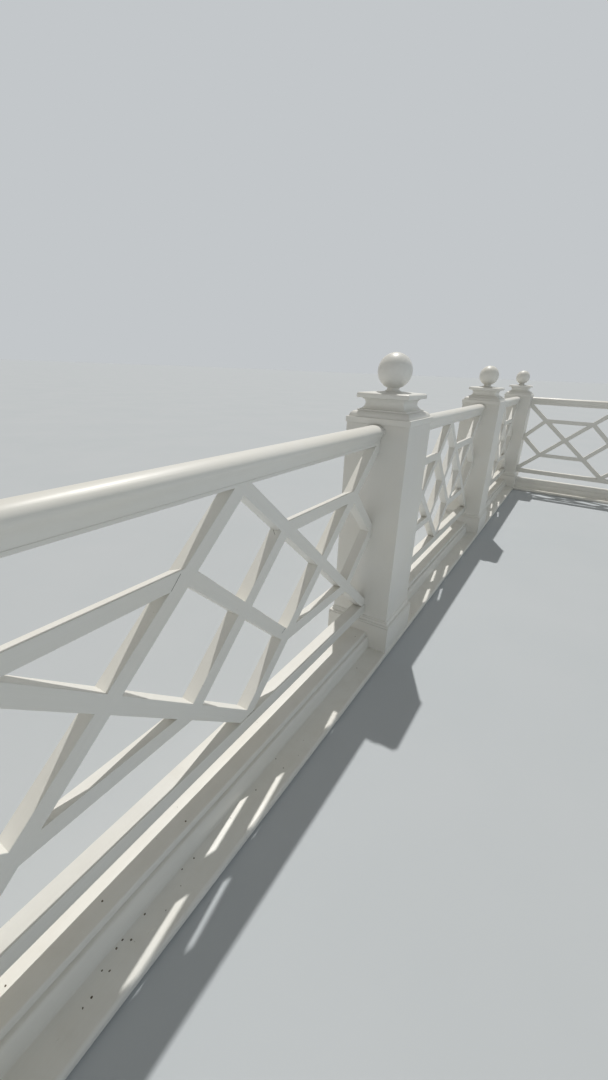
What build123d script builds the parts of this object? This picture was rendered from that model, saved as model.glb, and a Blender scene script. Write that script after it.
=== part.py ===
from build123d import *
import math
import os

# Chippendale roof railing: three bays in a row, then one bay at a right angle.
# Millimetres, +Z up. The origin is under the middle of the corner post, at the underside of the sill.
# The long run goes along -X and the return bay along -Y. The deck is on the inner side of the corner.

# Layout
POST_SPACING = 1848.0
MAIN_BAYS = 3

# Edges that are only eased by sanding and paint
EDGE_EASE = 2.0

# Sill board, with a rounded nose on both sides
SILL_REVEAL = 6.0
SILL_THICK = 25.0
SILL_ROUND = 10.0

# Posts: a square shaft in a wider plinth, with a base moulding of two beads and a cove
SHAFT_SIDE = 254.0
PLINTH_PROJECTION = 16.0
BASE_BEAD = 4.5
BASE_COVE = 8.0

# Base beam: a square block with an astragal and a rounded shoe on both faces
BEAM_WIDTH = 99.0
LEDGE_HEIGHT = 179.0
LEDGE_REVEAL = 7.0
RETURN_GAP = 36.0
SHOE_HEIGHT = 50.0
SHOE_PROJECTION = 13.0
SHOE_ROUND_WIDTH = 10.0
SHOE_ROUND_HEIGHT = 28.0
FASCIA_HEIGHT = 32.0
ASTRAGAL_RADIUS = 5.5

# Lattice panel
RAIL_WIDTH = 45.0
RAIL_HEIGHT = 42.0
PANEL_HEIGHT = 686.0
BAR_FACE = 38.0
BAR_DEPTH = 38.0
UPPER_BAR_SHARE = 0.768
LOWER_BAR_SHARE = 0.245
WEATHERING_DROP = 11.0

# Handrail: an oval roll over a shallow cove, on a fillet as wide as the bottom rail
HANDRAIL_WIDTH = 70.0
HANDRAIL_HEIGHT = 72.0
HANDRAIL_FILLET = 8.0
HANDRAIL_SET_IN = 1.5
ROLL_RISE = 23.0
ROLL_DROP = 9.0

# Moulded cap: a frieze band, an ovolo and a deep hollow under a low hipped slab
FRIEZE_PROJECTION = 3.5
FRIEZE_CLEARANCE = 1.0
FRIEZE_HEIGHT = 22.0
CAP_LEDGE = 8.5
CAP_OVOLO = 22.0
CAP_STEP_HEIGHT = 5.0
CAP_COVE = 23.0
CAP_FLARE = 19.0
SLAB_OVERHANG = 8.0
SLAB_THICK = 19.0
SLAB_ROUND = 7.5
HIP_RISE = 5.0
HIP_MARGIN = 2.0

# Ball finial
BALL_RADIUS = 65.8
BALL_NECK_RADIUS = 23.0
BALL_NECK_HEIGHT = 9.0
BALL_FOOT_RADIUS = 33.0
BALL_FOOT_LIP = 2.0

SHAFT_HALF = SHAFT_SIDE / 2
PLINTH_HALF = SHAFT_HALF + PLINTH_PROJECTION
SILL_HALF = PLINTH_HALF + SILL_REVEAL
BEAM_HALF = BEAM_WIDTH / 2
FRIEZE_HALF = SHAFT_HALF + FRIEZE_PROJECTION
CLEAR_WIDTH = POST_SPACING - SHAFT_SIDE
PANEL_BASE = LEDGE_HEIGHT + RAIL_HEIGHT
PANEL_TOP = PANEL_BASE + PANEL_HEIGHT
BASE_MOULD_TOP = LEDGE_HEIGHT - LEDGE_REVEAL
PLINTH_TOP = BASE_MOULD_TOP - 4 * BASE_BEAD - BASE_COVE
SHAFT_TOP = PANEL_TOP + HANDRAIL_HEIGHT + FRIEZE_CLEARANCE

os.makedirs("parts", exist_ok=True)


def write_copy(solid, place, name):
    """Write one placed copy of a piece under its own name."""
    copy = solid.moved(place)
    copy.label = name
    export_step(copy, f"parts/{name}.step")


# Square shaft of a post, from the plinth up to the frieze
with BuildPart() as shaft:
    with BuildSketch(Plane.XY.offset(BASE_MOULD_TOP)):
        RectangleRounded(SHAFT_SIDE, SHAFT_SIDE, EDGE_EASE)
    extrude(amount=SHAFT_TOP - BASE_MOULD_TOP)

# Moulded cap with its frieze band: the same outline seen from the front and from the side
ovolo_base = SHAFT_TOP + FRIEZE_HEIGHT
step_half = FRIEZE_HALF - CAP_LEDGE - CAP_OVOLO
step_base = ovolo_base + CAP_OVOLO
step_top = step_base + CAP_STEP_HEIGHT
waist_half = step_half - CAP_COVE
waist = step_top + CAP_COVE
slab_base = waist + CAP_FLARE
slab_half = waist_half + CAP_FLARE + SLAB_OVERHANG
slab_top = slab_base + SLAB_THICK
hip_half = BALL_FOOT_RADIUS + HIP_MARGIN
hip_top = slab_top + HIP_RISE
with BuildPart() as cap:
    for view, combine in ((Plane.XZ, Mode.ADD), (Plane.YZ, Mode.INTERSECT)):
        with BuildSketch(view):
            with BuildLine():
                Polyline((0, SHAFT_TOP), (FRIEZE_HALF, SHAFT_TOP), (FRIEZE_HALF, ovolo_base))
                Line((FRIEZE_HALF, ovolo_base), (step_half + CAP_OVOLO, ovolo_base))
                CenterArc((step_half, ovolo_base), CAP_OVOLO, 0, 90)
                Line((step_half, step_base), (step_half, step_top))
                CenterArc((step_half, waist), CAP_COVE, 270, -90)
                CenterArc((waist_half + CAP_FLARE, waist), CAP_FLARE, 180, -90)
                Line((waist_half + CAP_FLARE, slab_base), (slab_half, slab_base))
                Line((slab_half, slab_base), (slab_half, slab_top - SLAB_ROUND))
                CenterArc((slab_half - SLAB_ROUND, slab_top - SLAB_ROUND), SLAB_ROUND, 0, 90)
                Line((slab_half - SLAB_ROUND, slab_top), (hip_half, hip_top))
                Polyline((hip_half, hip_top), (0, hip_top), (0, SHAFT_TOP))
            make_face()
            mirror(about=Plane.YZ)
        extrude(amount=FRIEZE_HALF, both=True, mode=combine)

# Ball finial on its short flared neck
foot_cove = BALL_FOOT_RADIUS - BALL_NECK_RADIUS
foot_top = hip_top + BALL_FOOT_LIP + foot_cove
ball_centre = hip_top + BALL_NECK_HEIGHT + BALL_RADIUS
ball_joint = ball_centre - math.sqrt(BALL_RADIUS**2 - BALL_NECK_RADIUS**2)
with BuildPart() as ball:
    with BuildSketch(Plane.XZ):
        with BuildLine():
            Polyline(
                (0, ball_centre + BALL_RADIUS),
                (0, hip_top),
                (BALL_FOOT_RADIUS, hip_top),
                (BALL_FOOT_RADIUS, hip_top + BALL_FOOT_LIP),
            )
            CenterArc((BALL_FOOT_RADIUS, foot_top), foot_cove, 270, -90)
            Line((BALL_NECK_RADIUS, foot_top), (BALL_NECK_RADIUS, ball_joint))
            ThreePointArc(
                (BALL_NECK_RADIUS, ball_joint),
                (BALL_RADIUS, ball_centre),
                (0, ball_centre + BALL_RADIUS),
            )
        make_face()
    revolve(axis=Axis.Z)


def build_plinth(beam_tops):
    """Plinth block and base moulding under a shaft, notched where the base beams run in.

    beam_tops maps the direction of each beam, in degrees, to the height of its top.
    """
    bead_half = PLINTH_HALF - BASE_BEAD
    cove_base = PLINTH_TOP + 2 * BASE_BEAD
    cove_half = bead_half - BASE_COVE
    cove_top = cove_base + BASE_COVE
    with BuildPart() as plinth:
        for view, combine in ((Plane.XZ, Mode.ADD), (Plane.YZ, Mode.INTERSECT)):
            with BuildSketch(view):
                with BuildLine():
                    Polyline((0, SILL_THICK), (PLINTH_HALF, SILL_THICK), (PLINTH_HALF, PLINTH_TOP))
                    Line((PLINTH_HALF, PLINTH_TOP), (bead_half, PLINTH_TOP))
                    CenterArc((bead_half, PLINTH_TOP + BASE_BEAD), BASE_BEAD, 270, 180)
                    CenterArc((bead_half, cove_top), BASE_COVE, 270, -90)
                    Line((cove_half, cove_top), (SHAFT_HALF, cove_top))
                    CenterArc((SHAFT_HALF, cove_top + BASE_BEAD), BASE_BEAD, 270, 180)
                    Polyline((SHAFT_HALF, BASE_MOULD_TOP), (0, BASE_MOULD_TOP), (0, SILL_THICK))
                make_face()
                mirror(about=Plane.YZ)
            extrude(amount=PLINTH_HALF, both=True, mode=combine)
        for turn, top in beam_tops.items():
            with BuildSketch(Plane.XY.offset(SILL_THICK)):
                with Locations(Location((0, 0, 0), (0, 0, turn))):
                    with Locations((SHAFT_HALF + PLINTH_HALF, 0)):
                        Rectangle(2 * PLINTH_HALF, BEAM_WIDTH)
            extrude(amount=top - SILL_THICK, mode=Mode.SUBTRACT)
    return plinth.part


def build_beam(top):
    """Base beam of one bay, let into the plinths, with its mouldings running between them."""
    shoe_half = BEAM_HALF + SHOE_PROJECTION
    shoe_top = SILL_THICK + SHOE_HEIGHT
    round_half = shoe_half - SHOE_ROUND_WIDTH
    round_base = shoe_top - SHOE_ROUND_HEIGHT
    astragal_middle = shoe_top + FASCIA_HEIGHT + ASTRAGAL_RADIUS
    with BuildPart() as beam:
        with BuildSketch(Plane.YZ.offset(SHAFT_HALF)):
            with Locations((0, (SILL_THICK + top) / 2)):
                Rectangle(BEAM_WIDTH, top - SILL_THICK)
            fillet(vertices().group_by(Axis.Y)[-1], radius=EDGE_EASE)
        extrude(amount=CLEAR_WIDTH)
        with BuildSketch(Plane.YZ.offset(PLINTH_HALF)):
            with BuildLine():
                Polyline((0, shoe_top), (round_half, shoe_top))
                EllipticalCenterArc((round_half, round_base), SHOE_ROUND_WIDTH, SHOE_ROUND_HEIGHT)
                Polyline((shoe_half, round_base), (shoe_half, SILL_THICK), (0, SILL_THICK), (0, shoe_top))
            make_face()
            mirror(about=Plane.YZ)
            with Locations((-BEAM_HALF, astragal_middle), (BEAM_HALF, astragal_middle)):
                Circle(ASTRAGAL_RADIUS)
        extrude(amount=POST_SPACING - 2 * PLINTH_HALF)
    return beam.part


# Bottom rail of a lattice panel, from shaft to shaft
with BuildPart() as bottom_rail:
    with BuildSketch(Plane.YZ.offset(SHAFT_HALF)):
        with Locations((0, LEDGE_HEIGHT + RAIL_HEIGHT / 2)):
            Rectangle(RAIL_WIDTH, RAIL_HEIGHT)
        fillet(vertices().group_by(Axis.Y)[-1], radius=EDGE_EASE)
    extrude(amount=CLEAR_WIDTH)

# Handrail
cove_half = RAIL_WIDTH / 2 - HANDRAIL_SET_IN
cove_base = PANEL_TOP + HANDRAIL_FILLET
roll_middle = PANEL_TOP + HANDRAIL_HEIGHT - ROLL_RISE
roll_start = -math.degrees(math.asin(ROLL_DROP / ROLL_RISE))
with BuildPart() as handrail:
    with BuildSketch(Plane.YZ.offset(SHAFT_HALF)):
        with BuildLine():
            roll = EllipticalCenterArc(
                (0, roll_middle), HANDRAIL_WIDTH / 2, ROLL_RISE, roll_start, arc_size=90 - roll_start
            )
            Polyline(roll @ 1, (0, PANEL_TOP), (RAIL_WIDTH / 2, PANEL_TOP), (RAIL_WIDTH / 2, cove_base))
            Line((RAIL_WIDTH / 2, cove_base), (cove_half, cove_base))
            TangentArc((cove_half, cove_base), roll @ 0, tangent=(0, 1))
        make_face()
        mirror(about=Plane.YZ)
    extrude(amount=CLEAR_WIDTH)


def past(start, end):
    """Point a bar's width past the end of a bar, so that it runs out beyond the panel's edge."""
    length = math.hypot(end[0] - start[0], end[1] - start[1])
    share = 1 + BAR_FACE / length
    return (start[0] + (end[0] - start[0]) * share, start[1] + (end[1] - start[1]) * share)


# Lattice panel: two crossing zigzags tied by short level bars, an inner cross and half diamonds
left = SHAFT_HALF
middle = POST_SPACING / 2
run_per_rise = (middle - left) / PANEL_HEIGHT
upper = PANEL_HEIGHT * UPPER_BAR_SHARE
lower = PANEL_HEIGHT * LOWER_BAR_SHARE
rising_upper = (left + upper * run_per_rise, PANEL_BASE + upper)
rising_lower = (left + lower * run_per_rise, PANEL_BASE + lower)
falling_upper = (middle - upper * run_per_rise, PANEL_BASE + upper)
falling_lower = (middle - lower * run_per_rise, PANEL_BASE + lower)
diamond_tip = (left, PANEL_BASE + PANEL_HEIGHT / 2)
left_bars = [
    (past((middle, PANEL_TOP), (left, PANEL_BASE)), past((left, PANEL_BASE), (middle, PANEL_TOP))),
    (past((middle, PANEL_BASE), (left, PANEL_TOP)), past((left, PANEL_TOP), (middle, PANEL_BASE))),
    (rising_upper, (2 * middle - falling_lower[0], falling_lower[1])),
    (past(falling_upper, diamond_tip), falling_upper),
    (past(rising_lower, diamond_tip), rising_lower),
]
left_level_bars = [(falling_upper, rising_upper), (rising_lower, falling_lower)]
with BuildPart() as lattice:
    with BuildSketch(Plane.XZ.offset(-BAR_DEPTH / 2)):
        for (x1, z1), (x2, z2) in left_bars:
            lean = math.degrees(math.atan2(z2 - z1, x2 - x1))
            for centre_x, turn in (((x1 + x2) / 2, lean), (2 * middle - (x1 + x2) / 2, -lean)):
                with Locations(Location((centre_x, (z1 + z2) / 2, 0), (0, 0, turn))):
                    Rectangle(math.hypot(x2 - x1, z2 - z1), BAR_FACE)
        with Locations((middle, PANEL_BASE + PANEL_HEIGHT / 2)):
            Rectangle(CLEAR_WIDTH, PANEL_HEIGHT, mode=Mode.INTERSECT)
    extrude(amount=BAR_DEPTH)
    # The tops of the level bars fall towards the outer side, to shed rain
    for (x1, level), (x2, _) in left_level_bars:
        for start in (x1, 2 * middle - x2):
            with BuildSketch(Plane.YZ.offset(start)):
                with BuildLine():
                    Polyline(
                        (-BAR_DEPTH / 2, level - BAR_FACE / 2),
                        (BAR_DEPTH / 2, level - BAR_FACE / 2),
                        (BAR_DEPTH / 2, level + BAR_FACE / 2 - WEATHERING_DROP),
                        (-BAR_DEPTH / 2, level + BAR_FACE / 2),
                        close=True,
                    )
                make_face()
            extrude(amount=x2 - x1)


def build_sill(deck_edge, outer_edge):
    """Sill board between the start and end of its deck-side edge and of its outer edge."""
    start = min(deck_edge[0], outer_edge[0])
    with BuildPart() as sill:
        with BuildSketch(Plane.YZ.offset(start)):
            with Locations((0, SILL_THICK / 2)):
                RectangleRounded(2 * SILL_HALF, SILL_THICK, SILL_ROUND)
        extrude(amount=max(deck_edge[1], outer_edge[1]) - start)
        with BuildSketch(Plane.XY):
            with BuildLine():
                Polyline(
                    (deck_edge[0], -SILL_HALF),
                    (deck_edge[1], -SILL_HALF),
                    (outer_edge[1], SILL_HALF),
                    (outer_edge[0], SILL_HALF),
                    close=True,
                )
            make_face()
        extrude(amount=SILL_THICK, mode=Mode.INTERSECT)
    return sill.part


# Where each post and each bay stands, and what differs from one to the next
return_top = LEDGE_HEIGHT - RETURN_GAP
post_places = {
    "post_1": Location((-MAIN_BAYS * POST_SPACING, 0, 0)),
    "post_2": Location((-(MAIN_BAYS - 1) * POST_SPACING, 0, 0)),
    "post_3": Location((-(MAIN_BAYS - 2) * POST_SPACING, 0, 0)),
    "post_4": Location((0, 0, 0)),
    "post_5": Location((0, -POST_SPACING, 0)),
}
beam_tops = {
    "post_1": {0: LEDGE_HEIGHT},
    "post_2": {0: LEDGE_HEIGHT, 180: LEDGE_HEIGHT},
    "post_3": {0: LEDGE_HEIGHT, 180: LEDGE_HEIGHT},
    "post_4": {180: LEDGE_HEIGHT, 270: return_top},
    "post_5": {90: return_top},
}
bay_places = {
    "bay_1": post_places["post_1"],
    "bay_2": post_places["post_2"],
    "bay_3": post_places["post_3"],
    "bay_4": Location((0, 0, 0), (0, 0, -90)),
}
sill_end = POST_SPACING + SILL_HALF
sills = {
    "bay_1": build_sill((-SILL_HALF, POST_SPACING), (-SILL_HALF, POST_SPACING)),
    "bay_2": build_sill((0, POST_SPACING), (0, POST_SPACING)),
    "bay_3": build_sill((0, POST_SPACING - SILL_HALF), (0, sill_end)),
    "bay_4": build_sill((SILL_HALF, sill_end), (-SILL_HALF, sill_end)),
}

for post, place in post_places.items():
    write_copy(shaft.part, place, f"{post}_shaft")
    write_copy(build_plinth(beam_tops[post]), place, f"{post}_plinth")
    write_copy(cap.part, place, f"{post}_cap")
    write_copy(ball.part, place, f"{post}_ball")

for bay, place in bay_places.items():
    beam = build_beam(return_top if bay == "bay_4" else LEDGE_HEIGHT)
    write_copy(handrail.part, place, f"{bay}_handrail")
    write_copy(lattice.part, place, f"{bay}_lattice")
    write_copy(bottom_rail.part, place, f"{bay}_bottom_rail")
    write_copy(beam, place, f"{bay}_base_beam")
    write_copy(sills[bay], place, f"{bay}_sill")
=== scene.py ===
import math
import random

import bmesh
import bpy
from mathutils import Euler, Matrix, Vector


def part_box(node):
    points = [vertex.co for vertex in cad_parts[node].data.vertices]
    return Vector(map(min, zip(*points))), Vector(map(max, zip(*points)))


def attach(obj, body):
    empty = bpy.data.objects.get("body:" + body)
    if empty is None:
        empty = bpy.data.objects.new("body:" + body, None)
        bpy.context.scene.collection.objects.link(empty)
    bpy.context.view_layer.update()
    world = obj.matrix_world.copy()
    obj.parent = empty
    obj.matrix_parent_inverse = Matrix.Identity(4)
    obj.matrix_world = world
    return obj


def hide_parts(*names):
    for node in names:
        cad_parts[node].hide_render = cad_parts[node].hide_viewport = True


# Off-white painted roof railing: square posts with moulded caps and ball finials,
# and four bays of crossing lattice between a rolled handrail and a moulded base.
# Metres, in the same frame as the solids. The outer side is +Y of the long run and +X
# of the return, and the inner side is the other one.

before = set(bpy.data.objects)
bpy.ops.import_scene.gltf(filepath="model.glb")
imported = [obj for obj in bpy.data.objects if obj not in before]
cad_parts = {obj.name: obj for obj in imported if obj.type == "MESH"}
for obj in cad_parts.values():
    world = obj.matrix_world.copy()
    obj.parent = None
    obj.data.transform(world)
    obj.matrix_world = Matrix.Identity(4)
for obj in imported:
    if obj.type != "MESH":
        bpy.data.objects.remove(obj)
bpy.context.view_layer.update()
scene = bpy.context.scene

POSTS = ("post_1", "post_2", "post_3", "post_4", "post_5")
BAYS = ("bay_1", "bay_2", "bay_3", "bay_4")
RETURN_BAY = "bay_4"
BODY = "root"

# Lattice bars. The tops of the level ones fall by the weathering drop.
BAR_FACE = 0.038
BAR_DEPTH = 0.038
WEATHERING_DROP = 0.011
UPPER_BAR_SHARE = 0.768
LOWER_BAR_SHARE = 0.245
LAP_STEP = 0.00002
BUTT_STEP = 0.00008
BAR_EASE = 0.0018

# Plinth of a post, from the sill up: block, bead, cove, the bead against the shaft,
# and a neck that reaches up into the shaft
SILL_TOP = 0.025
PLINTH_HALF = 0.143
SHAFT_HALF = 0.127
PLINTH_TOP = 0.1405
BASE_BEAD = 0.0045
BASE_COVE = 0.008
BASE_COVE_HEIGHT = 0.0105
NECK_INSET = 0.0003
NECK_TOP = 0.175

# Base beam under each bay: a low block with a rounded shoe at its foot on both faces.
# The bottom rail passes clear above it, from post to post.
BEAM_HALF = 0.045
BEAM_TOP = 0.095
RETURN_BEAM_TOP = 0.117
SHOE_HALF = 0.0625
SHOE_TOP = 0.075
SHOE_ROUND_WIDTH = 0.010
SHOE_ROUND_HEIGHT = 0.028
BEAM_NOSE = 0.004
LET_IN = 0.001

# Sealant in the corners under plinths and shoes. Under a plinth it follows the sill's
# rounded edge down.
SEALANT = 0.005
NOSE_DROP = 0.003

# Softened edges of the other pieces
FINE_EASE = 0.0009
BOARD_EASE = 0.0016
MERGE_REACH = 0.00002
FLAT_ANGLE = math.radians(0.4)
SHARP_ANGLE = math.radians(35)

# Open joints and scuffs of the near bay, as lines from end to end
MARK_THICKNESS = 0.0004
JOINT_WIDTH = 0.0010
JOINT_OUT = -0.0193
RAIL_JOINT_HEIGHT = 0.2214
OPEN_JOINTS = (
    ((-4.853, JOINT_OUT, 0.731), (-4.825, JOINT_OUT, 0.760)),
    ((-4.452, JOINT_OUT, 0.4124), (-4.431, JOINT_OUT, 0.4225)),
    ((-4.503, JOINT_OUT, 0.762), (-4.494, JOINT_OUT, 0.745)),
    ((-4.621, JOINT_OUT, RAIL_JOINT_HEIGHT), (-4.586, JOINT_OUT, RAIL_JOINT_HEIGHT)),
)
SCUFF_WIDTH = 0.0026
SCUFFS = (
    ((-5.065, -0.106, SILL_TOP), (-5.047, -0.112, SILL_TOP)),
    ((-5.258, -0.100, SILL_TOP), (-5.252, -0.102, SILL_TOP)),
    ((-4.456, -0.101, SILL_TOP), (-4.450, -0.103, SILL_TOP)),
)

# Grit: the grains that show on the near sill and base beam, and a thin scatter elsewhere
SILL_GRAINS = (
    (-5.153, -0.080), (-5.145, -0.093), (-5.115, -0.073), (-5.099, -0.071), (-5.089, -0.086),
    (-5.043, -0.072), (-4.933, -0.071), (-4.899, -0.076), (-4.667, -0.087), (-4.548, -0.072),
    (-4.562, -0.111), (-5.206, -0.099), (-5.188, -0.099), (-4.000, -0.087),
)
BEAM_GRAINS = ((-4.877, -0.030), (-3.896, -0.022), (-5.097, -0.014), (-5.275, 0.011))
SILL_GRAIN = 0.0038
BEAM_GRAIN = 0.0046
GRIT_SEED = 7
GRIT_PER_BAY = 26
GRIT_END_CLEARANCE = 0.03
GRIT_SILL_SHARE = 0.75
GRIT_SILL_BAND = (0.075, 0.132)
GRIT_BEAM_BAND = (0.0, 0.038)
SCATTER_GRAIN = (0.0010, 0.0026)
GRAIN_SMALLEST = (0.6, 0.6, 0.35)
GRAIN_LARGEST = (1.3, 1.3, 0.7)

# Paint: colours, the features a metre of its patterns, how deep they stand, how strong
# they show and how rough the surface is
OFF_WHITE = (0.800, 0.786, 0.735, 1)
COOL_WHITE = (0.800, 0.795, 0.762, 1)
DUST = (0.560, 0.520, 0.440, 1)
# Dark of the dirt flecks, and of the painted shade with grime in the corners
GRIME_AND_SHADE = (0.300, 0.270, 0.220, 1)
BRUSH_STRETCH = 0.02
STROKE_COUNT = 380
STIPPLE_COUNT = 900
WAVE_COUNT = 9
PATCH_COUNT = 2.3
DUST_COUNT = 13
SMUDGE_COUNT = 24
FLECK_COUNT = 46
STROKE_DEPTH = 0.00028
STIPPLE_DEPTH = 0.00012
WAVE_DEPTH = 0.0016
TOOTH_DEPTH = 0.0003
STREAK_STRENGTH = 0.05
CORNER_REACH = 0.014
SATIN = 0.41
DUST_ROUGHNESS = 0.45

# Small finishes
PRIMER_WHITE = (0.860, 0.855, 0.835, 1)
JOINT_DARK = (0.090, 0.082, 0.070, 1)
JOINT_DUSTY = (0.200, 0.185, 0.155, 1)
GRIT_DARK = (0.085, 0.070, 0.052, 1)
GRIT_BROWN = (0.190, 0.160, 0.115, 1)

# Studio: floor, backdrop, soft light and two lamps
FLOOR_REACH = 300.0
FLOOR_PALE = (0.50, 0.535, 0.565, 1)
FLOOR_PALER = (0.53, 0.56, 0.59, 1)
BACKDROP_PALE = (0.546, 0.571, 0.591, 1)
SOFT_INNER_SIDE = (0.87, 0.95, 1.0, 1)
SOFT_OUTER_SIDE = (1.0, 0.955, 0.87, 1)
SOFT_ACROSS = (-0.9, 0.1)
SOFT_UPWARD = (0.1, 0.8)
SOFT_LOW, SOFT_HIGH = 0.47, 0.23
SOFT_INNER_GAIN = 1.08
KEY_TOWARDS = (-0.450, -0.239, -1.0)
KEY_STRENGTH, KEY_SPREAD = 2.45, 0.8
KEY_COLOUR = (1.0, 0.975, 0.93)
FILL_TOWARDS = (0.1, 0.9, -0.2)
FILL_STRENGTH, FILL_SPREAD = 0.10, 60
FILL_COLOUR = (0.80, 0.92, 1.0)

# Camera, at the viewing angle of the photograph
CAMERA_PLACE = (-5.3782, -0.6529, 1.1620)
CAMERA_TURN = (68.8345, -2.1206, -57.7949)
CAMERA_SENSOR = 36
CAMERA_LENS = 14.445
CAMERA_SHIFT = (-0.00094, -0.00265)
CAMERA_NEAR = 0.02


# Node helpers
def put(tree, kind, inputs=(), **settings):
    """One node, with its settings and what goes into it."""
    made = tree.nodes.new(kind)
    for key, value in settings.items():
        setattr(made, key, value)
    for key, value in dict(inputs).items():
        if isinstance(value, bpy.types.NodeSocket):
            tree.links.new(value, made.inputs[key])
        else:
            made.inputs[key].default_value = value
    return made


def ranged(tree, value, low, high, to_low=0.0, to_high=1.0):
    """A value spread from one range to another, held at the ends."""
    inputs = {
        "Value": value,
        "From Min": low,
        "From Max": high,
        "To Min": to_low,
        "To Max": to_high,
    }
    return put(tree, "ShaderNodeMapRange", inputs).outputs["Result"]


def reckoned(tree, operation, first, second):
    """Result of one operation on two values."""
    made = put(tree, "ShaderNodeMath", {0: first, 1: second}, operation=operation)
    return made.outputs["Value"]


def times(tree, first, second):
    """Product of two values."""
    return reckoned(tree, "MULTIPLY", first, second)


def blended(tree, share, first, second):
    """Colour between two colours."""
    made = put(tree, "ShaderNodeMix", {0: share, 6: first, 7: second}, data_type="RGBA")
    return made.outputs[2]


def noise(tree, place, scale, detail, roughness):
    """Plain noise at a number of features a metre."""
    inputs = {"Vector": place, "Scale": scale, "Detail": detail, "Roughness": roughness}
    return put(tree, "ShaderNodeTexNoise", inputs).outputs["Fac"]


def raised(tree, height, strength, depth, under=None):
    """Surface direction of a fine relief, over that of a coarser one."""
    inputs = {"Height": height, "Strength": strength, "Distance": depth}
    if under is not None:
        inputs["Normal"] = under
    return put(tree, "ShaderNodeBump", inputs).outputs["Normal"]


# Finishes
def new_finish(name):
    """A material with its tree, its shader and the place on the object."""
    finish = bpy.data.materials.new(name)
    finish.use_nodes = True
    tree = finish.node_tree
    place = put(tree, "ShaderNodeTexCoord").outputs["Object"]
    return finish, tree, tree.nodes["Principled BSDF"], place


def along_brush(tree, place, run):
    """The place squeezed along the brush, so that noise on it comes out as long strokes.

    run is the way of the brush, or None where each bar carries its own.
    """
    if run is not None:
        stretch = tuple(BRUSH_STRETCH if axis == run else 1.0 for axis in "xyz")
        inputs = {"Vector": place, "Scale": stretch}
        return put(tree, "ShaderNodeMapping", inputs).outputs["Vector"]
    way = put(tree, "ShaderNodeAttribute", attribute_name="grain").outputs["Vector"]
    reach = put(tree, "ShaderNodeVectorMath", {0: place, 1: way}, operation="DOT_PRODUCT")
    inputs = {0: way, "Scale": reach.outputs["Value"]}
    lengthways = put(tree, "ShaderNodeVectorMath", inputs, operation="SCALE").outputs["Vector"]
    inputs = {0: place, 1: lengthways}
    across = put(tree, "ShaderNodeVectorMath", inputs, operation="SUBTRACT").outputs["Vector"]
    inputs = {0: lengthways, 1: (BRUSH_STRETCH,) * 3, 2: across}
    squeezed = put(tree, "ShaderNodeVectorMath", inputs, operation="MULTIPLY_ADD")
    return squeezed.outputs["Vector"]


def settled_dust(tree, place, dust):
    """Share of dust, in uneven patches on what faces up."""
    normal = put(tree, "ShaderNodeNewGeometry").outputs["Normal"]
    facing = put(tree, "ShaderNodeSeparateXYZ", {0: normal}).outputs["Z"]
    upward = ranged(tree, facing, 0.55, 0.98)
    patchy = ranged(tree, noise(tree, place, DUST_COUNT, 4, 0.65), 0.42, 0.78, 0, dust)
    return times(tree, upward, patchy)


def corner_shade_and_grime(tree, place, shade_and_grime):
    """Share of painted shade with grime, smudged into the corners and quirks where shade falls.
    """
    inputs = {"Distance": CORNER_REACH}
    hollow = put(tree, "ShaderNodeAmbientOcclusion", inputs, samples=6).outputs["AO"]
    corner = ranged(tree, hollow, 0.2, 0.85, shade_and_grime, 0)
    smudge = ranged(tree, noise(tree, place, SMUDGE_COUNT, 3, 0.6), 0.3, 0.7, 0.25, 1)
    return times(tree, corner, smudge)


def small_flecks(tree, place):
    """Share of dirt in small, sparse flecks."""
    inputs = {"Vector": place, "Scale": FLECK_COUNT}
    cells = put(tree, "ShaderNodeTexVoronoi", inputs).outputs
    spot = ranged(tree, cells["Distance"], 0.035, 0.055, 1, 0)
    kept = put(tree, "ShaderNodeSeparateXYZ", {0: cells["Color"]}).outputs["X"]
    return times(tree, spot, ranged(tree, kept, 0.95, 0.96, 0, 0.5))


def paint(name, run=None, dust=0.16, shade_and_grime=0.16):
    """Brushed satin paint: a streaky tone, dust, painted corner shade with grime, and flecks,
    over a fine relief.
    """
    finish, tree, shader, place = new_finish(name)
    strokes = noise(tree, along_brush(tree, place, run), STROKE_COUNT, 3, 0.6)
    patches = noise(tree, place, PATCH_COUNT, 3, 0.6)
    dusty = settled_dust(tree, place, dust)

    tone = blended(tree, ranged(tree, patches, 0.35, 0.65), OFF_WHITE, COOL_WHITE)
    streak = times(tree, ranged(tree, strokes, 0.4, 0.75), STREAK_STRENGTH)
    tone = blended(tree, streak, tone, DUST)
    tone = blended(tree, dusty, tone, DUST)
    # Painted shade with grime: darker in the corners and quirks, where shade falls
    tone = blended(tree, corner_shade_and_grime(tree, place, shade_and_grime), tone, GRIME_AND_SHADE)
    tone = blended(tree, small_flecks(tree, place), tone, GRIME_AND_SHADE)
    tree.links.new(tone, shader.inputs["Base Color"])

    gloss = ranged(tree, strokes, 0.3, 0.8, SATIN - 0.05, SATIN + 0.07)
    inputs = {0: dusty, 1: DUST_ROUGHNESS, 2: gloss}
    rough = put(tree, "ShaderNodeMath", inputs, operation="MULTIPLY_ADD").outputs["Value"]
    tree.links.new(rough, shader.inputs["Roughness"])

    waves = noise(tree, place, WAVE_COUNT, 2, 0.5)
    stipple = noise(tree, place, STIPPLE_COUNT, 2, 0.5)
    relief = raised(tree, waves, 0.35, WAVE_DEPTH)
    relief = raised(tree, strokes, 0.5, STROKE_DEPTH, relief)
    relief = raised(tree, stipple, 0.35, STIPPLE_DEPTH, relief)
    tree.links.new(relief, shader.inputs["Normal"])
    return finish


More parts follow.
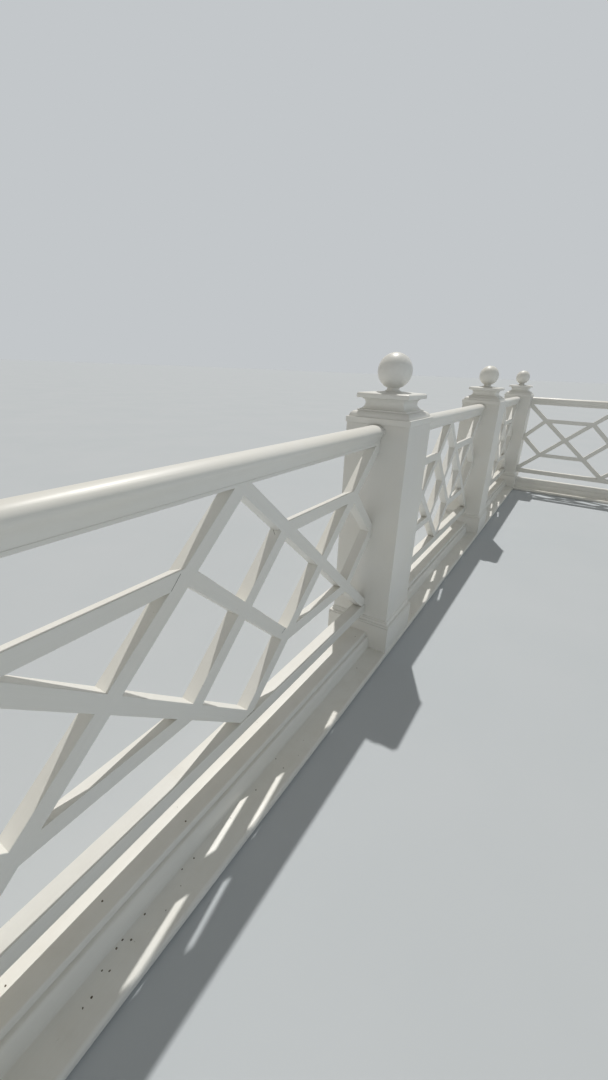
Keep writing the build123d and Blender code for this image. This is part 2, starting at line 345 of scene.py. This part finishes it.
def plain(name, colour, roughness, second, scale):
    """A small part's finish in two tones, with a fine tooth."""
    finish, tree, shader, place = new_finish(name)
    cloudy = noise(tree, place, scale, 3, 0.6)
    tone = blended(tree, ranged(tree, cloudy, 0.35, 0.65), colour, second)
    tree.links.new(tone, shader.inputs["Base Color"])
    rough = ranged(tree, cloudy, 0.3, 0.7, roughness - 0.08, roughness + 0.08)
    tree.links.new(rough, shader.inputs["Roughness"])
    tree.links.new(raised(tree, cloudy, 0.3, TOOTH_DEPTH), shader.inputs["Normal"])
    return finish


post_paint = paint("post_paint_rolled", "z")
run_rail_paint = paint("rail_paint_run", "x")
return_rail_paint = paint("rail_paint_return", "y")
bar_paint = paint("rail_paint_bars")
run_base_paint = paint("base_paint_run", "x", dust=0.2, shade_and_grime=0.22)
return_base_paint = paint("base_paint_return", "y", dust=0.2, shade_and_grime=0.22)
scuff_finish = plain("scuffed_primer", PRIMER_WHITE, 0.7, OFF_WHITE, 200)
open_joint = plain("open_joint", JOINT_DARK, 0.8, JOINT_DUSTY, 90)
grit_finish = plain("roof_grit", GRIT_DARK, 0.85, GRIT_BROWN, 300)


# Pieces made from the solids or from their outlines
def show(mesh, name, finish=None):
    """Puts a finished mesh in the scene as one piece on the body."""
    piece = bpy.data.objects.new(name, mesh)
    scene.collection.objects.link(piece)
    if finish:
        mesh.materials.clear()
        mesh.materials.append(finish)
    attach(piece, BODY)
    return piece


def round_edges(piece, width, segments=2):
    """Rounds the sharp edges of a piece, as sanding and paint do."""
    rounding = piece.modifiers.new("rounding", "BEVEL")
    rounding.width = width
    rounding.segments = segments
    rounding.limit_method = "ANGLE"
    rounding.angle_limit = SHARP_ANGLE
    rounding.harden_normals = True


def smooth_mesh(form, name):
    """Turns a worked form into a mesh with smooth faces."""
    for face in form.faces:
        face.smooth = True
    mesh = bpy.data.meshes.new(name)
    form.to_mesh(mesh)
    form.free()
    return mesh


def eased(node, width, finish):
    """A merged copy of one solid, with its sharp edges rounded."""
    form = bmesh.new()
    form.from_mesh(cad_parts[node].data)
    bmesh.ops.remove_doubles(form, verts=form.verts, dist=MERGE_REACH)
    bmesh.ops.dissolve_limit(form, angle_limit=FLAT_ANGLE, verts=form.verts, edges=form.edges)
    mesh = smooth_mesh(form, f"{node}_eased")
    piece = show(mesh, mesh.name, finish)
    round_edges(piece, width)
    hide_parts(node)


def arc(centre, width, height, start, turn, steps=6):
    """Points along part of an ellipse, with its angles in degrees."""
    points = []
    for step in range(steps + 1):
        angle = math.radians(start + turn * step / steps)
        across = centre[0] + width * math.cos(angle)
        points.append((across, centre[1] + height * math.sin(angle)))
    return points


def closed_form(name, rings):
    """Closed mesh through rings of points, one after the other, with both ends filled."""
    form = bmesh.new()
    laid = [[form.verts.new(point) for point in ring] for ring in rings]
    for low, high in zip(laid, laid[1:]):
        for start in range(len(low)):
            end = (start + 1) % len(low)
            form.faces.new((low[start], low[end], high[end], high[start]))
    form.faces.new(laid[0])
    form.faces.new(laid[-1])
    bmesh.ops.recalc_face_normals(form, faces=form.faces)
    return smooth_mesh(form, name)


def plinth_outline():
    """Half outline of a plinth from its foot up, as (distance from the middle, height)."""
    foot = SILL_TOP - NOSE_DROP + SEALANT
    bead_half = PLINTH_HALF - BASE_BEAD
    cove_base = PLINTH_TOP + 2 * BASE_BEAD
    cove_top = cove_base + BASE_COVE_HEIGHT
    outline = arc((PLINTH_HALF + SEALANT / 2, foot), SEALANT / 2, SEALANT, 270, -90, 4)
    outline += [(PLINTH_HALF, PLINTH_TOP)]
    outline += arc((bead_half, PLINTH_TOP + BASE_BEAD), BASE_BEAD, BASE_BEAD, 270, 180)
    outline += arc((bead_half, cove_top), BASE_COVE, BASE_COVE_HEIGHT, 270, -90)[1:]
    outline += arc((SHAFT_HALF, cove_top + BASE_BEAD), BASE_BEAD, BASE_BEAD, 270, 180)
    outline += [(SHAFT_HALF - NECK_INSET, NECK_TOP)]
    return outline


def moulded_plinth(post):
    """Plinth block with its base moulding running all round the post."""
    low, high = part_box(f"{post}_shaft")
    middle_x, middle_y = (low.x + high.x) / 2, (low.y + high.y) / 2
    corners = ((1, 1), (-1, 1), (-1, -1), (1, -1))
    rings = [
        [(middle_x + half * x, middle_y + half * y, height) for x, y in corners]
        for half, height in plinth_outline()
    ]
    mesh = closed_form(f"{post}_plinth_moulded", rings)
    piece = show(mesh, mesh.name, post_paint)
    round_edges(piece, FINE_EASE)
    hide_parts(f"{post}_plinth")


def beam_outline(top):
    """Outline of a base beam with its shoes, as (distance from the middle, height)."""
    round_base = SHOE_TOP - SHOE_ROUND_HEIGHT
    round_half = SHOE_HALF - SHOE_ROUND_WIDTH
    nose = (BEAM_HALF - BEAM_NOSE, top - BEAM_NOSE)
    half = arc((SHOE_HALF + SEALANT, SILL_TOP + SEALANT), SEALANT, SEALANT, 270, -90, 4)
    half += arc((round_half, round_base), SHOE_ROUND_WIDTH, SHOE_ROUND_HEIGHT, 0, 90, 8)
    half += [(BEAM_HALF, SHOE_TOP)]
    half += arc(nose, BEAM_NOSE, BEAM_NOSE, 0, 90, 4)
    return half + [(-across, height) for across, height in reversed(half)]


def moulded_beam(bay, top, finish):
    """Low base beam of one bay, from plinth to plinth, with its shoes."""
    low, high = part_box(f"{bay}_base_beam")
    outline = beam_outline(top)
    reach = PLINTH_HALF - SHAFT_HALF - LET_IN
    if bay == RETURN_BAY:
        middle = (low.x + high.x) / 2
        ends = (low.y + reach, high.y - reach)
        rings = [[(middle + across, end, height) for across, height in outline] for end in ends]
    else:
        middle = (low.y + high.y) / 2
        ends = (low.x + reach, high.x - reach)
        rings = [[(end, middle + across, height) for across, height in outline] for end in ends]
    mesh = closed_form(f"{bay}_base_beam_low", rings)
    piece = show(mesh, mesh.name, finish)
    round_edges(piece, FINE_EASE)
    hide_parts(f"{bay}_base_beam")


for post in POSTS:
    eased(f"{post}_shaft", BOARD_EASE, post_paint)
    moulded_plinth(post)
    eased(f"{post}_cap", FINE_EASE, post_paint)
    eased(f"{post}_ball", FINE_EASE, post_paint)
for bay in BAYS:
    returned = bay == RETURN_BAY
    rail_finish = return_rail_paint if returned else run_rail_paint
    base_finish = return_base_paint if returned else run_base_paint
    eased(f"{bay}_handrail", FINE_EASE, rail_finish)
    eased(f"{bay}_bottom_rail", FINE_EASE, rail_finish)
    moulded_beam(bay, RETURN_BEAM_TOP if returned else BEAM_TOP, base_finish)
    eased(f"{bay}_sill", FINE_EASE, base_finish)


# Geometry Nodes: trees, and the lines and points that they work on
def start_tree(name, sizes):
    """A Geometry Nodes tree with its named sizes, and what comes in."""
    tree = bpy.data.node_groups.new(name, "GeometryNodeTree")
    sides = tree.interface
    sides.new_socket("Geometry", in_out="INPUT", socket_type="NodeSocketGeometry")
    for label, kind in sizes.items():
        sides.new_socket(label, in_out="INPUT", socket_type=f"NodeSocket{kind}")
    sides.new_socket("Geometry", in_out="OUTPUT", socket_type="NodeSocketGeometry")
    return tree, put(tree, "NodeGroupInput").outputs


def end_tree(tree, geometry, finish):
    """Ends a tree: copies made real, and the finish put on."""
    real = put(tree, "GeometryNodeRealizeInstances", {"Geometry": geometry}).outputs["Geometry"]
    smooth = put(tree, "GeometryNodeSetShadeSmooth", {"Geometry": real}).outputs["Geometry"]
    inputs = {"Geometry": smooth, "Material": finish}
    painted = put(tree, "GeometryNodeSetMaterial", inputs).outputs["Geometry"]
    put(tree, "NodeGroupOutput", {"Geometry": painted})


def grow(tree, guide, name, values):
    """Runs a tree on a guide mesh and returns the result as a plain mesh."""
    holder = bpy.data.objects.new(f"{name}_guide", guide)
    scene.collection.objects.link(holder)
    modifier = holder.modifiers.new(name, "NODES")
    modifier.node_group = tree
    items = tree.interface.items_tree
    sockets = {item.name: item.identifier for item in items if item.in_out == "INPUT"}
    for label, value in values.items():
        modifier[sockets[label]] = value
    bpy.context.view_layer.update()
    graph = bpy.context.evaluated_depsgraph_get()
    mesh = bpy.data.meshes.new_from_object(
        holder.evaluated_get(graph), preserve_all_data_layers=True, depsgraph=graph
    )
    mesh.name = name
    bpy.data.objects.remove(holder)
    return mesh


def guide_mesh(name, points, edges=(), **values):
    """Points and lines for a tree to work on, with values at each point."""
    guide = bpy.data.meshes.new(f"{name}_lines")
    guide.from_pydata([tuple(point) for point in points], list(edges), [])
    for label, numbers in values.items():
        layer = guide.attributes.new(label, "FLOAT", "POINT")
        for item, number in zip(layer.data, numbers):
            item.value = number
    return guide


def named(tree, label, kind="FLOAT"):
    """A value that the guide mesh carries."""
    made = put(tree, "GeometryNodeInputNamedAttribute", {"Name": label}, data_type=kind)
    return made.outputs["Attribute"]


def upright_lines(tree, geometry):
    """The guide's lines as curves whose sections stand upright."""
    curve = put(tree, "GeometryNodeMeshToCurve", {"Mesh": geometry}).outputs["Curve"]
    upright = put(tree, "GeometryNodeSetCurveNormal", {"Curve": curve}, mode="Z_UP")
    return upright.outputs["Curve"]


# Lattice panels
class Bay:
    """Where one lattice panel stands: its near lower corner, its run and its way inward."""

    def __init__(self, name):
        low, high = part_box(f"{name}_lattice")
        self.name = name
        self.returned = name == RETURN_BAY
        self.run = Vector((0, -1, 0)) if self.returned else Vector((1, 0, 0))
        self.inward = Vector((-1, 0, 0)) if self.returned else Vector((0, -1, 0))
        middle = (low + high) / 2
        self.width = abs((high - low).dot(self.run))
        self.height = high.z - low.z
        corner = middle - self.run * self.width / 2
        self.corner = Vector((corner.x, corner.y, low.z))

    def at(self, along, up, out=0.0):
        """Point of the panel, out from its middle plane towards the inner side."""
        return self.corner + self.run * along + Vector((0, 0, up)) + self.inward * out


def panel_bars(bay):
    """The bars of one panel as (start, end, step, level), in the panel's own two directions.

    The step is how far a bar stands proud of the one below it at a joint.
    """
    half = bay.width / 2
    tall = bay.height
    upper = tall * UPPER_BAR_SHARE
    lower = tall * LOWER_BAR_SHARE
    slope = half / tall
    rising_upper = (upper * slope, upper)
    rising_lower = (lower * slope, lower)
    falling_upper = (half - upper * slope, upper)
    falling_lower = (half - lower * slope, lower)
    far_lower = (bay.width - falling_lower[0], falling_lower[1])
    tip = (0.0, tall / 2)

    def past(start, end):
        length = math.dist(start, end)
        share = 1 + BAR_FACE / length
        return start[0] + (end[0] - start[0]) * share, start[1] + (end[1] - start[1]) * share

    foot, head = (0.0, 0.0), (half, tall)
    high_foot, low_head = (0.0, tall), (half, 0.0)
    bars = [
        (past(head, foot), past(foot, head), 3 * BUTT_STEP + LAP_STEP, 0),
        (past(low_head, high_foot), past(high_foot, low_head), 3 * BUTT_STEP, 0),
        (falling_upper, rising_upper, 2 * BUTT_STEP, 1),
        (rising_lower, falling_lower, 2 * BUTT_STEP, 1),
        (rising_upper, far_lower, BUTT_STEP, 0),
        (past(falling_upper, tip), falling_upper, BUTT_STEP + LAP_STEP, 0),
        (past(rising_lower, tip), rising_lower, BUTT_STEP, 0),
    ]
    turned = [
        ((bay.width - b[0], b[1]), (bay.width - a[0], a[1]), step + LAP_STEP / 2, level)
        for a, b, step, level in bars
    ]
    return bars + turned


def sweep(tree, lines, half_depth, half_face, outer_top):
    """Bars of a four-cornered section, with the height of the outer top edge given apart.

    The section lies with its first direction inward and its second one down.
    """
    top = times(tree, half_face, -1)
    outer = times(tree, half_depth, -1)
    fallen = times(tree, outer_top, -1)
    corners = [(half_depth, top), (half_depth, half_face), (outer, half_face), (outer, fallen)]
    section = put(tree, "GeometryNodeCurvePrimitiveQuadrilateral", mode="POINTS")
    for number, (across, down) in enumerate(corners, 1):
        corner = put(tree, "ShaderNodeCombineXYZ", {"X": across, "Y": down}).outputs["Vector"]
        tree.links.new(corner, section.inputs[f"Point {number}"])
    inputs = {
        "Curve": lines,
        "Profile Curve": section.outputs["Curve"],
        "Scale": named(tree, "swell"),
        "Fill Caps": True,
    }
    return put(tree, "GeometryNodeCurveToMesh", inputs).outputs["Mesh"]


def lattice_tree():
    """Bars swept along the lines of a panel, each with its own way of the brush.

    Most are square. The tops of the level ones fall towards the outer side, to shed rain.
    """
    sizes = {"Face": "Float", "Depth": "Float", "Fall": "Float", "Finish": "Material"}
    tree, given = start_tree("lattice_bars", sizes)
    lines = upright_lines(tree, given["Geometry"])
    way = put(tree, "GeometryNodeInputTangent").outputs["Tangent"]
    inputs = {"Geometry": lines, "Name": "grain", "Value": way}
    grained = put(
        tree, "GeometryNodeStoreNamedAttribute", inputs, data_type="FLOAT_VECTOR", domain="POINT"
    )
    half_depth = times(tree, given["Depth"], 0.5)
    half_face = times(tree, given["Face"], 0.5)
    fallen = reckoned(tree, "SUBTRACT", half_face, given["Fall"])
    inputs = {
        "Geometry": grained.outputs["Geometry"],
        "Selection": named(tree, "level", "BOOLEAN"),
    }
    parted = put(tree, "GeometryNodeSeparateGeometry", inputs, domain="POINT").outputs
    swept = [
        sweep(tree, parted["Inverted"], half_depth, half_face, half_face),
        sweep(tree, parted["Selection"], half_depth, half_face, fallen),
    ]
    joined = put(tree, "GeometryNodeJoinGeometry")
    for bars in reversed(swept):
        tree.links.new(bars, joined.inputs["Geometry"])
    end_tree(tree, joined.outputs["Geometry"], given["Finish"])
    return tree


def lattice_panel(tree, bay):
    """The bars of one bay, as one piece."""
    points, edges, swell, levels = [], [], [], []
    for start, end, step, level in panel_bars(bay):
        edges.append((len(points), len(points) + 1))
        points += [bay.at(*start), bay.at(*end)]
        swell += [1 + 2 * step / BAR_DEPTH] * 2
        levels += [level] * 2
    guide = guide_mesh(f"{bay.name}_bars", points, edges, swell=swell, level=levels)
    sizes = {"Face": BAR_FACE, "Depth": BAR_DEPTH, "Fall": WEATHERING_DROP, "Finish": bar_paint}
    mesh = grow(tree, guide, f"{bay.name}_lattice_bars", sizes)
    piece = show(mesh, mesh.name)
    round_edges(piece, BAR_EASE, 3)
    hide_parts(f"{bay.name}_lattice")


bays = [Bay(name) for name in BAYS]
lattice_bars = lattice_tree()
for bay in bays:
    lattice_panel(lattice_bars, bay)


# Open joints and scuffs
def ribbon_tree():
    """Thin flat ribbons along lines."""
    sizes = {"Width": "Float", "Thickness": "Float", "Finish": "Material"}
    tree, given = start_tree("ribbons", sizes)
    lines = upright_lines(tree, given["Geometry"])
    inputs = {"Width": given["Thickness"], "Height": given["Width"]}
    section = put(
        tree, "GeometryNodeCurvePrimitiveQuadrilateral", inputs, mode="RECTANGLE"
    ).outputs["Curve"]
    inputs = {"Curve": lines, "Profile Curve": section, "Fill Caps": True}
    swept = put(tree, "GeometryNodeCurveToMesh", inputs).outputs["Mesh"]
    end_tree(tree, swept, given["Finish"])
    return tree


def lay_ribbons(tree, name, lines, width, thickness, finish):
    """One piece with a ribbon along each line."""
    points = [point for line in lines for point in line]
    edges = [(start, start + 1) for start in range(0, len(points), 2)]
    guide = guide_mesh(name, points, edges)
    values = {"Width": width, "Thickness": thickness, "Finish": finish}
    show(grow(tree, guide, name, values), name)


ribbons = ribbon_tree()
lay_ribbons(
    ribbons, "bay_1_open_joints", OPEN_JOINTS, JOINT_WIDTH, MARK_THICKNESS, open_joint
)
lay_ribbons(
    ribbons, "bay_1_sill_scuffs", SCUFFS, MARK_THICKNESS, SCUFF_WIDTH, scuff_finish
)


# Grit
def grit_tree():
    """Small uneven grains on points, each with its own size."""
    tree, given = start_tree("grit", {"Seed": "Int", "Finish": "Material"})
    inputs = {"Radius": 0.5, "Subdivisions": 2}
    grain = put(tree, "GeometryNodeMeshIcoSphere", inputs).outputs["Mesh"]
    inputs = {0: GRAIN_SMALLEST, 1: GRAIN_LARGEST, "Seed": given["Seed"]}
    uneven = put(tree, "FunctionNodeRandomValue", inputs, data_type="FLOAT_VECTOR")
    inputs = {0: uneven.outputs["Value"], "Scale": named(tree, "size")}
    scale = put(tree, "ShaderNodeVectorMath", inputs, operation="SCALE").outputs["Vector"]
    inputs = {0: (0.0, 0.0, 0.0), 1: (0.0, 0.0, math.tau), "Seed": given["Seed"]}
    turn = put(tree, "FunctionNodeRandomValue", inputs, data_type="FLOAT_VECTOR")
    inputs = {
        "Points": given["Geometry"],
        "Instance": grain,
        "Rotation": turn.outputs["Value"],
        "Scale": scale,
    }
    grains = put(tree, "GeometryNodeInstanceOnPoints", inputs).outputs["Instances"]
    end_tree(tree, grains, given["Finish"])
    return tree


def grit_places():
    """Where the grains lie, and their sizes: first those that show, then the scatter."""
    points = [(x, y, SILL_TOP) for x, y in SILL_GRAINS]
    points += [(x, y, BEAM_TOP) for x, y in BEAM_GRAINS]
    sizes = [SILL_GRAIN] * len(SILL_GRAINS) + [BEAM_GRAIN] * len(BEAM_GRAINS)
    chance = random.Random(GRIT_SEED)
    for bay in bays:
        beam_top = RETURN_BEAM_TOP if bay.returned else BEAM_TOP
        for _ in range(GRIT_PER_BAY):
            along = chance.uniform(GRIT_END_CLEARANCE, bay.width - GRIT_END_CLEARANCE)
            on_sill = chance.random() < GRIT_SILL_SHARE
            out = chance.uniform(*(GRIT_SILL_BAND if on_sill else GRIT_BEAM_BAND))
            side = chance.choice((-1, 1))
            place = bay.at(along, 0.0, side * out)
            points.append((place.x, place.y, SILL_TOP if on_sill else beam_top))
            sizes.append(chance.uniform(*SCATTER_GRAIN))
    return points, sizes


grit_points, grit_sizes = grit_places()
grit_guide = guide_mesh("roof_grit", grit_points, size=grit_sizes)
grit_values = {"Seed": GRIT_SEED, "Finish": grit_finish}
show(grow(grit_tree(), grit_guide, "roof_grit", grit_values), "roof_grit")


# Floor, backdrop, light and camera
def pale_floor():
    """A wide plain floor under the sills."""
    near, far = -FLOOR_REACH, FLOOR_REACH
    corners = [(near, near, 0), (far, near, 0), (far, far, 0), (near, far, 0)]
    floor_mesh = bpy.data.meshes.new("studio_floor")
    floor_mesh.from_pydata(corners, [], [(0, 1, 2, 3)])
    floor_mesh.materials.append(plain("studio_floor", FLOOR_PALE, 0.9, FLOOR_PALER, 0.8))
    floor = bpy.data.objects.new("studio_floor", floor_mesh)
    scene.collection.objects.link(floor)


def backdrop():
    """Soft light from all round, cooler from the inner side, and a pale backdrop.

    The light is stronger near the horizon than overhead. The camera, and what shines or
    is clear, see the backdrop instead.
    """
    world = bpy.data.worlds.new("studio")
    world.use_nodes = True
    scene.world = world
    tree = world.node_tree
    tree.nodes.clear()
    direction = put(tree, "ShaderNodeTexCoord").outputs["Generated"]
    way = put(tree, "ShaderNodeSeparateXYZ", {0: direction}).outputs
    outward = ranged(tree, way["Y"], *SOFT_ACROSS)
    light = blended(tree, outward, SOFT_INNER_SIDE, SOFT_OUTER_SIDE)
    height = ranged(tree, way["Z"], *SOFT_UPWARD, SOFT_LOW, SOFT_HIGH)
    gain = ranged(tree, way["Y"], *SOFT_ACROSS, SOFT_INNER_GAIN, 1.0)
    inputs = {"Color": light, "Strength": times(tree, height, gain)}
    soft = put(tree, "ShaderNodeBackground", inputs)
    pale = put(tree, "ShaderNodeBackground", {"Color": BACKDROP_PALE, "Strength": 1.0})
    ray = put(tree, "ShaderNodeLightPath").outputs
    seen = ray["Is Camera Ray"]
    for other in ("Is Glossy Ray", "Is Transmission Ray"):
        seen = reckoned(tree, "MAXIMUM", seen, ray[other])
    both = put(tree, "ShaderNodeMixShader", {0: seen, 1: soft.outputs[0], 2: pale.outputs[0]})
    put(tree, "ShaderNodeOutputWorld", {"Surface": both.outputs[0]})


def lamp(name, towards, strength, spread, colour):
    """A lamp that shines the same way everywhere, with its spread in degrees."""
    light = bpy.data.lights.new(name, "SUN")
    light.energy = strength
    light.angle = math.radians(spread)
    light.color = colour
    holder = bpy.data.objects.new(name, light)
    holder.rotation_euler = Vector(towards).to_track_quat("-Z", "Y").to_euler()
    scene.collection.objects.link(holder)


def photo_camera():
    """The camera, looking along the railing from its inner side."""
    lens = bpy.data.cameras.new("camera")
    lens.sensor_width = CAMERA_SENSOR
    lens.lens = CAMERA_LENS
    lens.shift_x, lens.shift_y = CAMERA_SHIFT
    lens.clip_start = CAMERA_NEAR
    camera = bpy.data.objects.new("camera", lens)
    camera.location = CAMERA_PLACE
    camera.rotation_euler = Euler([math.radians(angle) for angle in CAMERA_TURN])
    scene.collection.objects.link(camera)
    return camera


pale_floor()
backdrop()
lamp("key_light", KEY_TOWARDS, KEY_STRENGTH, KEY_SPREAD, KEY_COLOUR)
lamp("fill_light", FILL_TOWARDS, FILL_STRENGTH, FILL_SPREAD, FILL_COLOUR)
scene.camera = photo_camera()
scene.view_settings.view_transform = "Standard"
